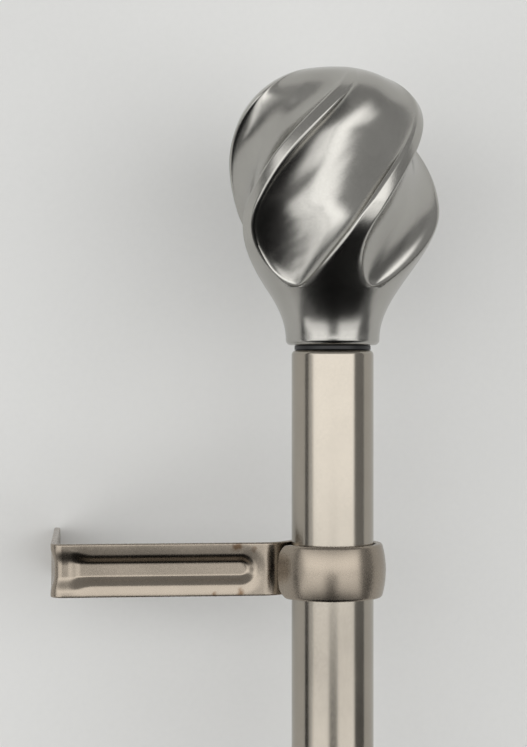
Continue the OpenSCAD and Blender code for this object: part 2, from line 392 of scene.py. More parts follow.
TUBE_NICKEL = Finish("satin_nickel_tube", (0.375, 0.342, 0.295), roughness=0.16, grain_size=0.2 * MM,
                     grain_bump=0.003 * MM, tone_swing=0.07, brush=(6.0, 0.35, 0.35), brush_bump=0.003 * MM)
CASTING_NICKEL = Finish("satin_nickel_casting", (0.43, 0.42, 0.395), roughness=0.22, grain_size=0.22 * MM,
                        grain_bump=0.007 * MM, tone_swing=0.06, wave_size=6 * MM, wave_bump=0.10 * MM,
                        wave_turn=math.radians(-50))
STRAP_NICKEL = StrapFinish("satin_nickel_strap", (0.33, 0.285, 0.235), roughness=0.27, grain_size=0.2 * MM,
                           grain_bump=0.007 * MM, tone_swing=0.07)
SCREW_NICKEL = Finish("satin_nickel_screw", (0.55, 0.50, 0.44), roughness=0.3, grain_size=0.15 * MM,
                      grain_bump=0.006 * MM)
BRIGHT_ZINC = Finish("bright_zinc", (0.62, 0.63, 0.65), roughness=0.25, grain_size=0.12 * MM,
                     grain_bump=0.004 * MM)
TURNED_BRASS = Finish("turned_brass", (0.70, 0.50, 0.22), roughness=0.28, grain_size=0.15 * MM,
                      grain_bump=0.005 * MM)
BLACK_MOULDING = Finish("black_moulding", (0.012, 0.012, 0.013), metallic=0.0, roughness=0.45,
                        grain_size=0.3 * MM, grain_bump=0.01 * MM, tone_swing=0.15)
GREY_NYLON = Finish("grey_nylon", (0.20, 0.195, 0.185), metallic=0.0, roughness=0.5, grain_size=0.3 * MM,
                    grain_bump=0.008 * MM)
WHITE_NYLON = Finish("white_nylon", (0.74, 0.73, 0.70), metallic=0.0, roughness=0.5, grain_size=0.3 * MM,
                     grain_bump=0.008 * MM)
PALE_PAPER = Finish("pale_paper", (0.86, 0.86, 0.85), metallic=0.0, roughness=0.8, grain_size=0.6 * MM,
                    grain_bump=0.01 * MM, tone_swing=0.012, patch_size=60 * MM)


# ---- mesh helpers ----

def new_piece(name: str, mesh: bpy.types.Mesh, sharp: float = 35.0) -> bpy.types.Object:
    """Makes an object of a mesh and shades it smooth, with crisp edges kept.

    Args:
        name: The piece's name.
        mesh: Its mesh.
        sharp: Edges that bend more than this many degrees stay crisp.

    Returns:
        The object.
    """
    mesh.name = name
    mesh.shade_smooth()
    mesh.set_sharp_from_angle(angle=math.radians(sharp))
    made = bpy.data.objects.new(name, mesh)
    bpy.context.scene.collection.objects.link(made)
    return made


def from_faces(points: Sequence, faces: Sequence, weld: float = 1e-6) -> bpy.types.Mesh:
    """Makes a mesh, welds its doubles and turns its faces outwards.

    Args:
        points: Vertex places.
        faces: Vertex numbers of each face.
        weld: Points closer than this become one.

    Returns:
        The mesh.
    """
    bm = bmesh.new()
    verts = [bm.verts.new(p) for p in points]
    for f in faces:
        bm.faces.new([verts[i] for i in f])
    bmesh.ops.remove_doubles(bm, verts=bm.verts[:], dist=weld)
    bmesh.ops.dissolve_degenerate(bm, edges=bm.edges[:], dist=weld)
    bmesh.ops.recalc_face_normals(bm, faces=bm.faces[:])
    mesh = bpy.data.meshes.new("made")
    bm.to_mesh(mesh)
    bm.free()
    return mesh


def lathe(outline: Sequence[Pair], angles: Sequence[float]) -> bpy.types.Mesh:
    """Turns an outline about Z. It starts and ends on the axis, or closes on itself.

    Args:
        outline: Pairs of height and radius.
        angles: The angle of each column, in radians, once round.

    Returns:
        The closed mesh.
    """
    n = len(angles)
    points = [(r * math.cos(a), r * math.sin(a), h) for h, r in outline for a in angles]
    rings = len(outline)
    on_axis = outline[0][1] == 0 and outline[-1][1] == 0
    last = rings - 1 if on_axis else rings
    faces = []
    for j in range(last):
        k = (j + 1) % rings
        for i in range(n):
            m = (i + 1) % n
            quad = [j * n + i, j * n + m, k * n + m, k * n + i]
            if outline[j][1] == 0:
                quad = [j * n, k * n + m, k * n + i]
            elif outline[k][1] == 0:
                quad = [j * n + i, j * n + m, k * n]
            faces.append(quad)
    return from_faces(points, faces)


def round_angles(count: int) -> list[float]:
    """Evenly spaced angles, once round."""
    return [2 * math.pi * i / count for i in range(count)]


def rounded(corners: Sequence[tuple[float, float, float]], closed: bool = False,
            steps: int = 5) -> list[Pair]:
    """Rounds the corners of an outline.

    Args:
        corners: Height, radius and corner radius of each corner.
        closed: Whether the last corner joins the first.
        steps: Segments in each rounded corner.

    Returns:
        The outline as pairs.
    """
    out: list[Pair] = []
    count = len(corners)
    for i, (h, r, fillet) in enumerate(corners):
        here = Vector((h, r))
        ends = not closed and i in (0, count - 1)
        if ends or fillet == 0:
            out.append((h, r))
            continue
        before = Vector(corners[i - 1][:2]) - here
        after = Vector(corners[(i + 1) % count][:2]) - here
        turn = before.angle(after)
        reach = min(fillet / math.tan(turn / 2), before.length * 0.49, after.length * 0.49)
        a, b = here + before.normalized() * reach, here + after.normalized() * reach
        for k in range(steps + 1):
            u = k / steps
            p = a * (1 - u) ** 2 + here * (2 * u * (1 - u)) + b * u ** 2
            out.append((p.x, p.y))
    return out


def cut_with(piece: bpy.types.Object, cutters: Iterable[bpy.types.Object]) -> bpy.types.Object:
    """Cuts shapes out of a piece and makes the result a plain mesh.

    Args:
        piece: The piece to cut.
        cutters: Closed shapes, which are removed afterwards.

    Returns:
        The cut piece.
    """
    cutters = list(cutters)
    for cutter in cutters:
        boolean = piece.modifiers.new("Cut", "BOOLEAN")
        boolean.operation = "DIFFERENCE"
        boolean.solver = "EXACT"
        boolean.object = cutter
    return baked(piece, cutters)


def baked(piece: bpy.types.Object, spent: Iterable[bpy.types.Object] = (),
          sharp: float = 35.0) -> bpy.types.Object:
    """Applies a piece's modifiers.

    Args:
        piece: The piece.
        spent: Helpers to remove.
        sharp: Edges that bend more than this many degrees stay crisp.

    Returns:
        The piece with a plain mesh and no modifiers.
    """
    bpy.context.view_layer.update()
    ready = piece.evaluated_get(bpy.context.evaluated_depsgraph_get())
    mesh = bpy.data.meshes.new_from_object(ready)
    piece.modifiers.clear()
    old, piece.data = piece.data, mesh
    bpy.data.meshes.remove(old)
    mesh.name = piece.name
    mesh.shade_smooth()
    mesh.set_sharp_from_angle(angle=math.radians(sharp))
    for helper in spent:
        data = helper.data
        bpy.data.objects.remove(helper)
        bpy.data.meshes.remove(data)
    return piece


def cylinder_cutter(centre: Vector, along: Vector, radius: float, length: float,
                    sides: int = 48) -> bpy.types.Object:
    """A closed cylinder to cut with.

    Args:
        centre: Its middle.
        along: Its axis.
        radius: Its radius.
        length: Its length.
        sides: Segments round it.

    Returns:
        The cutter.
    """
    half = length / 2
    mesh = lathe([(-half, 0.0), (-half, radius), (half, radius), (half, 0.0)], round_angles(sides))
    turn = Vector((0, 0, 1)).rotation_difference(along).to_matrix().to_4x4()
    mesh.transform(Matrix.Translation(centre) @ turn)
    return new_piece("cutter", mesh)


def settle(piece: bpy.types.Object, body: str, slot: Slot, material: bpy.types.Material,
           *nodes: str) -> None:
    """Gives a piece its material and its body, and hides the frame's nodes that it stands for.

    Args:
        piece: The piece.
        body: The body that it rides on.
        slot: The record's slot for its finish; not used.
        material: Its material.
        *nodes: The frame's nodes that it replaces.
    """
    piece.data.materials.clear()
    piece.data.materials.append(material)
    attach(piece, body)
    if nodes:
        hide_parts(*nodes)
    log.info("%s: %d faces on %s", piece.name, len(piece.data.polygons), body)


# ---- where things are, from the frame ----

class Side(Enum):
    """The two ends of the rod: the outer tube's is the right one."""

    RIGHT = 1
    LEFT = -1

    @property
    def word(self) -> str:
        """The word that starts the names of its pieces."""
        return self.name.lower()


@dataclass(frozen=True)
class Layout:
    """Lines and ends that several pieces share, measured on the frame."""

    axis_y: float
    axis_z: float
    right_end: float
    left_end: float
    outer_r: float
    inner_r: float

    @staticmethod
    def measured() -> "Layout":
        """Reads the layout from the two tubes' boxes."""
        low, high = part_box("outer_tube")
        inner_low, inner_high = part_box("inner_tube")
        return Layout((low[1] + high[1]) / 2, (low[2] + high[2]) / 2, high[0], inner_low[0],
                      (high[2] - low[2]) / 2, (inner_high[2] - inner_low[2]) / 2)

    def at_end(self, side: Side) -> Matrix:
        """Places a piece made along +Z, with its foot at zero, on the rod's end."""
        x = self.right_end if side is Side.RIGHT else self.left_end
        turn = Matrix.Rotation(side.value * math.pi / 2, 4, "Y")
        return Matrix.Translation((x, self.axis_y, self.axis_z)) @ turn

    def tube_r(self, side: Side) -> float:
        """The outside radius of the tube at an end."""
        return self.outer_r if side is Side.RIGHT else self.inner_r


# ---- tubes and their plastic fittings ----

@dataclass
class Tube:
    """One of the two telescoping tubes, with its finial end rolled inwards."""

    side: Side
    layout: Layout
    wall: float
    roll_r: float = 1.6 * MM
    columns: int = 144

    @property
    def node(self) -> str:
        """The frame's node, whose name is also its body's."""
        return "outer_tube" if self.side is Side.RIGHT else "inner_tube"

    def outline(self) -> list[Pair]:
        """The wall's outline, from the open mouth round the rolled edge and back inside.

        Returns:
            Pairs of height and radius, with the rolled edge's top at zero.
        """
        low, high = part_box(self.node)
        length = high[0] - low[0]
        r, wall, roll = self.layout.tube_r(self.side), self.wall, self.roll_r
        lip = 0.25 * wall
        outer = [(-length, r - lip), (-length + lip, r), (-length * 0.5, r)]
        arcs = [math.pi / 2 * k / 8 for k in range(9)]
        outer += [(-roll + roll * math.sin(a), r - roll + roll * math.cos(a)) for a in arcs]
        inner_roll = roll - wall
        inner = [(-roll + inner_roll * math.sin(a), r - roll + inner_roll * math.cos(a))
                 for a in reversed(arcs)]
        bore = r - wall
        return outer + inner + [(-length * 0.5, bore), (-length + lip, bore), (-length, bore + lip)]

    def build(self, material: bpy.types.Material) -> None:
        """Makes the tube in its node's place.

        Args:
            material: The plated finish.
        """
        mesh = lathe(self.outline(), round_angles(self.columns))
        mesh.transform(self.layout.at_end(self.side))
        settle(new_piece(self.node + "_shell", mesh), self.node, Slot.TUBE, material, self.node)


@dataclass
class EndPlug:
    """The moulded plug in a tube's end: it holds the nut, and its flange shows under the finial."""

    side: Side
    layout: Layout
    wall: float
    roll_r: float = 1.6 * MM
    length: float = 12 * MM
    flange: float = 1.4 * MM
    seat: float = 0.05 * MM
    slip: float = 0.1 * MM
    stud_r: float = 2.95 * MM
    nut_across: float = 10 * MM
    nut_h: float = 5 * MM

    def outline(self) -> list[Pair]:
        """The plug's section, from the nut's end of its bore to the flange and back down the bore."""
        r = self.layout.tube_r(self.side)
        bore, barrel = self.stud_r + self.slip, r - self.wall - self.seat
        mouth, neck = r - self.roll_r - self.seat, -self.roll_r - self.seat
        return rounded([
            (-self.length, bore, 0), (-self.length, barrel, 0.6 * MM), (neck, barrel, 0.3 * MM),
            (neck, mouth, 0.1 * MM), (self.seat, mouth, 0.05 * MM), (self.seat, r - self.wall, 0.15 * MM),
            (self.flange, r - self.wall, 0.4 * MM), (self.flange, bore, 0.2 * MM)], closed=True)

    def build(self, material: bpy.types.Material) -> None:
        """Makes the plug with its nut's pocket.

        Args:
            material: The plastic.
        """
        name = self.side.word + "_end_plug"
        place = self.layout.at_end(self.side)
        mesh = lathe(self.outline(), round_angles(96))
        plug = new_piece(name + "_moulding", mesh)
        pocket = cylinder_cutter(Vector((0, 0, -self.length)), Vector((0, 0, 1)),
                                 (self.nut_across / 2 + self.seat) / math.cos(math.pi / 6),
                                 2 * (self.nut_h + self.seat), sides=6)
        cut_with(plug, [pocket])
        plug.data.transform(place)
        body = "outer_tube" if self.side is Side.RIGHT else "inner_tube"
        settle(plug, body, Slot.BLACK, material, name)


@dataclass
class MouthBush:
    """The guide bush that lines the outer tube's mouth."""

    layout: Layout
    wall: float
    length: float = 15 * MM
    flange: float = 1.2 * MM
    seat: float = 0.05 * MM
    slip: float = 0.1 * MM

    def build(self, material: bpy.types.Material) -> None:
        """Makes the bush.

        Args:
            material: The plastic.
        """
        bore, barrel = self.layout.inner_r + self.slip, self.layout.outer_r - self.wall - self.seat
        rim = self.layout.outer_r - self.slip
        outline = rounded([
            (-self.flange - self.seat, bore, 0.3 * MM), (-self.flange - self.seat, rim, 0.5 * MM),
            (-self.seat, rim, 0.2 * MM), (-self.seat, barrel, 0), (self.length, barrel, 0.3 * MM),
            (self.length, bore, 0.3 * MM)], closed=True)
        mesh = lathe(outline, round_angles(96))
        low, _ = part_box("outer_tube")
        turn = Matrix.Rotation(math.pi / 2, 4, "Y")
        mesh.transform(Matrix.Translation((low[0], self.layout.axis_y, self.layout.axis_z)) @ turn)
        settle(new_piece("mouth_bush_moulding", mesh), "outer_tube", Slot.GREY, material, "mouth_bush")


# ---- threads ----

RINGS_PER_TURN = 8


@dataclass
class Thread:
    """A screw thread, cut into a plain shank by a node tree that follows the thread's rule."""

    pitch: float
    depth: float
    start: float
    end: float
    shank_r: float
    root_sharpness: float = 1.2
    flank_from: float = 0.97

    def tree(self) -> bpy.types.NodeTree:
        """Makes the node tree, with the thread's sizes as named inputs.

        Returns:
            The geometry node tree.
        """
        tree = bpy.data.node_groups.new("Screw thread", "GeometryNodeTree")
        face = tree.interface
        face.new_socket("Geometry", in_out="INPUT", socket_type="NodeSocketGeometry")
        for name in ("Pitch", "Depth", "Start", "End", "Shank radius"):
            face.new_socket(name, in_out="INPUT", socket_type="NodeSocketFloat")
        face.new_socket("Material", in_out="INPUT", socket_type="NodeSocketMaterial")
        face.new_socket("Geometry", in_out="OUTPUT", socket_type="NodeSocketGeometry")
        g = Graph(tree)
        given = g.node("NodeGroupInput").outputs
        pitch, depth, start, end, shank = (Term(g, given[i]) for i in range(1, 6))
        x, y, z = g.split(g.node("GeometryNodeInputPosition").outputs[0])
        radius = (x * x + y * y).root()
        turn = g.math("ARCTAN2", y, x) / (2 * math.pi)
        phase = z / pitch - turn
        saw = (g.math("FRACT", phase) - 0.5).magnitude() * 2.0
        runs = ((z - start) / pitch).clamped() * ((end - z) / pitch).clamped()
        on_flank = (shank * self.flank_from).below(radius)
        cut = depth * (1.0 - saw).power(self.root_sharpness) * runs * on_flank
        share = (radius - cut) / radius.at_least(0.1 * MM)
        moved = g.node("GeometryNodeSetPosition")
        g.feed(moved.inputs["Geometry"], given[0])
        g.feed(moved.inputs["Position"], g.joined(x * share, y * share, z))
        finish_tree(g, moved.outputs[0], given[6])
        return tree

    def cut(self, piece: bpy.types.Object, material: bpy.types.Material) -> bpy.types.Object:
        """Cuts the thread into a shank that stands along Z, and gives it back as a plain mesh."""
        sizes = {"Pitch": self.pitch, "Depth": self.depth, "Start": self.start, "End": self.end,
                 "Shank radius": self.shank_r, "Material": material}
        return run_tree(piece, self.tree(), sizes)


def finish_tree(g: Graph, geometry: bpy.types.NodeSocket, material: bpy.types.NodeSocket) -> None:
    """Ends a geometry tree: realizes instances, sets the material and gives the result.

    Args:
        g: The tree's graph.
        geometry: The geometry so far.
        material: The material's socket.
    """
    real = g.node("GeometryNodeRealizeInstances")
    g.feed(real.inputs[0], geometry)
    dressed = g.node("GeometryNodeSetMaterial")
    g.feed(dressed.inputs["Geometry"], real.outputs[0])
    g.feed(dressed.inputs["Material"], material)
    g.feed(g.node("NodeGroupOutput").inputs[0], dressed.outputs[0])


def run_tree(piece: bpy.types.Object, tree: bpy.types.NodeTree, sizes: dict[str, object],
             sharp: float = 35.0) -> bpy.types.Object:
    """Runs a geometry tree on a piece and keeps the result as a plain mesh.

    Args:
        piece: The piece to work on.
        tree: The tree.
        sizes: The value of each named input.
        sharp: Edges that bend more than this many degrees stay crisp.

    Returns:
        The piece, with no modifier left.
    """
    modifier = piece.modifiers.new(tree.name, "NODES")
    modifier.node_group = tree
    for item in tree.interface.items_tree:
        if item.in_out == "INPUT" and item.name in sizes:
            modifier[item.identifier] = sizes[item.name]
    return baked(piece, sharp=sharp)


@dataclass
class Stud:
    """The threaded stud that joins a finial to its rod."""

    side: Side
    layout: Layout
    radius: float = 2.95 * MM
    inside: float = 11.5 * MM
    outside: float = 15.4 * MM
    pitch: float = 1 * MM
    thread_deep: float = 0.55 * MM
    chamfer: float = 0.7 * MM

    def build(self, material: bpy.types.Material) -> None:
        """Makes the stud with its thread.

        Args:
            material: The zinc plate.
        """
        chamfer, step = self.chamfer, self.pitch / RINGS_PER_TURN
        rings = int((self.inside + self.outside - 2 * chamfer) / step)
        shank = [(-self.inside + chamfer + k * step, self.radius) for k in range(rings)]
        outline = [(-self.inside, 0.0), (-self.inside, self.radius - chamfer), *shank,
                   (self.outside - chamfer, self.radius), (self.outside, self.radius - chamfer),
                   (self.outside, 0.0)]
        name = self.side.word + "_stud"
        stud = new_piece(name + "_threaded", lathe(outline, round_angles(40)))
        thread = Thread(self.pitch, self.thread_deep, -self.inside, self.outside, self.radius)
        thread.cut(stud, material)
        stud.data.transform(self.layout.at_end(self.side))
        settle(stud, name, Slot.ZINC, material, name)


@dataclass
class SetScrew:
    """The pan head screw under a ring, which clamps the rod."""

    side: Side
    layout: Layout
    radius: float = 1.95 * MM
    length: float = 8 * MM
    head_r: float = 3.5 * MM
    head_h: float = 2.4 * MM
    pitch: float = 0.7 * MM
    slot_w: float = 1 * MM
    slot_deep: float = 1.3 * MM
    slot_share: float = 0.64
    thread_deep: float = 0.35 * MM
    thread_start: float = 0.2 * MM
    tip: float = 0.6 * MM

    def build(self, material: bpy.types.Material) -> None:
        """Makes the screw: domed head, cross recess and thread.

        Args:
            material: The plated finish.
        """
        step, tip = self.pitch / RINGS_PER_TURN, self.tip
        shank = [(k * step, self.radius) for k in range(1, int((self.length - tip) / step))]
        dome = [(-self.head_h * math.cos(a) ** 0.7 if math.cos(a) > 1e-6 else 0.0,
                 self.head_r * math.sin(a))
                for a in (math.pi / 2 * k / 14 for k in range(1, 15))]
        outline = [(-self.head_h, 0.0), *dome, (0.0, self.radius), *shank,
                   (self.length - tip, self.radius), (self.length, self.radius - tip), (self.length, 0.0)]
        name = self.side.word + "_set_screw"
        screw = new_piece(name + "_threaded", lathe(outline, round_angles(40)))
        thread = Thread(self.pitch, self.thread_deep, self.thread_start, self.length, self.radius)
        thread.cut(screw, material)
        arms = []
        for turn in (0.0, math.pi / 2):
            arm = bmesh.new()
            bmesh.ops.create_cube(arm, size=1.0)
            mesh = bpy.data.meshes.new("recess")
            arm.to_mesh(mesh)
            arm.free()
            size = Matrix.Diagonal((2 * self.head_r * self.slot_share, self.slot_w, 2 * self.slot_deep, 1.0))
            mesh.transform(Matrix.Translation((0, 0, -self.head_h)) @ Matrix.Rotation(turn, 4, "Z") @ size)
            arms.append(new_piece("recess", mesh))
        cut_with(screw, arms)
        low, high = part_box(name)
        centre = (low + high) / 2
        screw.data.transform(Matrix.Translation((centre[0], centre[1], low[2] + self.head_h)))
        settle(screw, name, Slot.SCREW, material, name)


# ---- finials ----

@dataclass
class Finial:
    """A cast finial: a flared neck and a blunt dome, with twisted flutes that run out near the top.

    Heights are above the foot, and all sizes are the casting's own.
    """

    side: Side
    layout: Layout
    foot: float = 1.5 * MM
    height: float = 85.6 * MM
    base_r: float = 14.5 * MM
    base_edge: float = 1.6 * MM
    belly_r: float = 33.2 * MM
    belly_h: float = 43 * MM
    flare_start: float = 0.39
    flare_end: float = 0.63
    dome_drop: float = 11.1 * MM
    dome_width: float = 22.8 * MM
    flutes: int = 5
    depth: float = 7.2 * MM
    start: float = 17.2 * MM
    run_in: float = 20 * MM
    fade: float = 64 * MM
    fade_past: float = 6 * MM
    share: float = 0.84
    crest: float = 0.8 * MM
    crest_spread: float = 2.5
    narrowest: float = 0.35
    flute_bottom: float = 2.4
    flute_wall: float = 0.7
    twist_rate: float = math.radians(0.65) / MM
    twist_gain: float = math.radians(0.0112) / MM ** 2
    first_flute: float = math.radians(-5.5)
    bore: float = 4.55 * MM
    bore_deep: float = 12.1 * MM
    stud_bore: float = 3.05 * MM
    stud_deep: float = 14.05 * MM
    neck_rings: int = 90
    dome_rings: int = 90

    @staticmethod
    def bezier(a: float, b: float, c: float, d: float, u: float) -> float:
        """A point of a cubic curve in one dimension."""
        return (1 - u) ** 3 * a + 3 * (1 - u) ** 2 * u * b + 3 * (1 - u) * u * u * c + u ** 3 * d

    def neck(self, u: float) -> Pair:
        """A point of the flared neck, from the foot's edge to the belly."""
        h = self.bezier(self.base_edge, self.belly_h * self.flare_start, self.belly_h * self.flare_end,
                        self.belly_h, u)
        return h, self.bezier(self.base_r, self.base_r, self.belly_r, self.belly_r, u)

    def dome(self, u: float) -> Pair:
        """A point of the dome, from the belly to the tip."""
        h = self.bezier(self.belly_h, self.height - self.dome_drop, self.height, self.height, u)
        return h, self.bezier(self.belly_r, self.belly_r, self.dome_width, 0.0, u)

    def outline(self) -> list[Pair]:
        """The plain turned shape, from the bore's end round the foot and up to the tip.

        Returns:
            Pairs of height and radius.
        """
        edge, r = self.base_edge, self.base_r
        foot = [(edge * (1 - math.cos(a)), r - edge * (1 - math.sin(a)))
                for a in (math.pi / 2 * k / 8 for k in range(8))]
        neck = [self.neck(k / self.neck_rings) for k in range(self.neck_rings)]
        dome = [self.dome(k / self.dome_rings) for k in range(self.dome_rings)]
        # closer rings where the flutes begin, so that their round ends stay round
        extra = [self.start + self.run_in * (1 - math.cos(0.9 * k / 14)) for k in range(14)]
        neck = sorted(neck + [self.at_height(neck, h) for h in extra])
        return [(self.stud_deep, 0.0), (self.stud_deep, self.stud_bore), (self.bore_deep, self.stud_bore),
                (self.bore_deep, self.bore), (0.0, self.bore), *foot, *neck, *dome, (self.height, 0.0)]

    @staticmethod
    def at_height(curve: Sequence[Pair], h: float) -> Pair:
        """Finds the point of a rising curve at a height.

        Args:
            curve: Pairs of height and radius, rising.
            h: The height.

        Returns:
            The point there.
        """
        for (h0, r0), (h1, r1) in zip(curve, curve[1:]):
            if h0 <= h <= h1:
                return h, r0 + (r1 - r0) * (h - h0) / max(h1 - h0, 1e-9)
        return curve[-1]

    def angles(self) -> list[float]:
        """Angles of the columns: close together at the edges of each flute, and over each ridge."""
        pitch = 2 * math.pi / self.flutes
        inside = [self.share * math.sin(math.pi / 2 * k / 24) for k in range(-24, 25)]
        shares = inside + [self.share + (1 - self.share) * k / 8 for k in range(1, 16)]
        return [pitch * (n + t / 2) for n in range(self.flutes) for t in shares]

    def tree(self) -> bpy.types.NodeTree:
        """Makes the tree that scoops the flutes, with the casting's sizes as named inputs.

        Returns:
            The geometry node tree.
        """
        tree = bpy.data.node_groups.new("Twisted flutes", "GeometryNodeTree")
        face = tree.interface
        names = ("Flutes", "Depth", "Start", "Run in", "Fade start", "Fade end", "Share", "Crest",
                 "Belly radius", "Twist rate", "Twist gain", "First flute")
        face.new_socket("Geometry", in_out="INPUT", socket_type="NodeSocketGeometry")
        for name in names:
            face.new_socket(name, in_out="INPUT", socket_type="NodeSocketFloat")
        face.new_socket("Material", in_out="INPUT", socket_type="NodeSocketMaterial")
        face.new_socket("Geometry", in_out="OUTPUT", socket_type="NodeSocketGeometry")
        g = Graph(tree)
        given = g.node("NodeGroupInput").outputs
        (flutes, depth, start, run_in, fade, gone, share, crest, belly_r,
         rate, gain, first) = (Term(g, given[i + 1]) for i in range(len(names)))

        x, y, h = g.split(g.node("GeometryNodeInputPosition").outputs[0])
        radius = (x * x + y * y).root()
        angle = g.math("ARCTAN2", y, x)
        pitch = g.math("DIVIDE", 2 * math.pi, flutes)
        division = angle / pitch
        middle = g.math("ROUND", division)
        off = (division - middle) * 2.0
        way = g.math("SIGN", off)
        across = off.magnitude()

        # how wide and how deep a flute is at each height
        left = ((start + run_in - h) / run_in).clamped()
        opening = (1.0 - left * left).at_least(0.0).root()
        fading = 1.0 - ((h - fade) / (gone - fade)).eased()
        below = ((start - h) / start).clamped().power(0.7)
        width = share * opening.at_least(below).at_least(self.narrowest)

        # columns follow the edges of the flutes
        inner = across * width / share
        outer = 1.0 - (1.0 - across) * (1.0 - width) / (1.0 - share)
        in_flute = across.below(share + 0.0001)
        place = inner * in_flute + outer * (1.0 - in_flute)
        risen = (h - start).at_least(0.0)
        turned = (middle + way * place * 0.5) * pitch + risen * rate + risen * risen * gain + first

        # the scoop, and the rounded crest of each ridge
        from_centre = (place / (share * opening).at_least(0.001)).at_most(1.0)
        scoop = (1.0 - from_centre.power(self.flute_bottom)).at_least(0.0).power(self.flute_wall)
        edge = share * opening
        on_ridge = ((place - edge) / (1.0 - edge) * self.crest_spread).clamped()
        shoulder = (1.0 - on_ridge).power(2.0)
        sunk = (depth * scoop * radius / belly_r + crest * shoulder) * opening * fading
        carved = radius - sunk
        moved = g.node("GeometryNodeSetPosition")
        g.feed(moved.inputs["Geometry"], given[0])
        g.feed(moved.inputs["Position"],
               g.joined(carved * g.math("COSINE", turned), carved * g.math("SINE", turned), h))
        finish_tree(g, moved.outputs[0], given[len(names) + 1])
        return tree

    def build(self, material: bpy.types.Material) -> None:
        """Makes the casting in its node's place.

        Args:
            material: The plated, blasted finish.
        """
        name = self.side.word + "_finial"
        casting = new_piece(name + "_casting", lathe(self.outline(), self.angles()))
        run_tree(casting, self.tree(), {
            "Flutes": float(self.flutes), "Depth": self.depth, "Start": self.start, "Run in": self.run_in,
            "Fade start": self.fade, "Fade end": self.height + self.fade_past, "Share": self.share,
            "Crest": self.crest, "Belly radius": self.belly_r, "Twist rate": self.twist_rate,
            "Twist gain": self.twist_gain, "First flute": self.first_flute, "Material": material},
            sharp=40.0)
        lift = Matrix.Translation((0, 0, self.foot))
        casting.data.transform(self.layout.at_end(self.side) @ lift)
        settle(casting, name, Slot.CASTING, material, name)


# ---- strap brackets ----

@dataclass(frozen=True)
class Station:
    """One place along the strip: its middle, the way its face looks, and how far along it is."""

    y: float
    z: float
    face_y: float
    face_z: float
    run: float


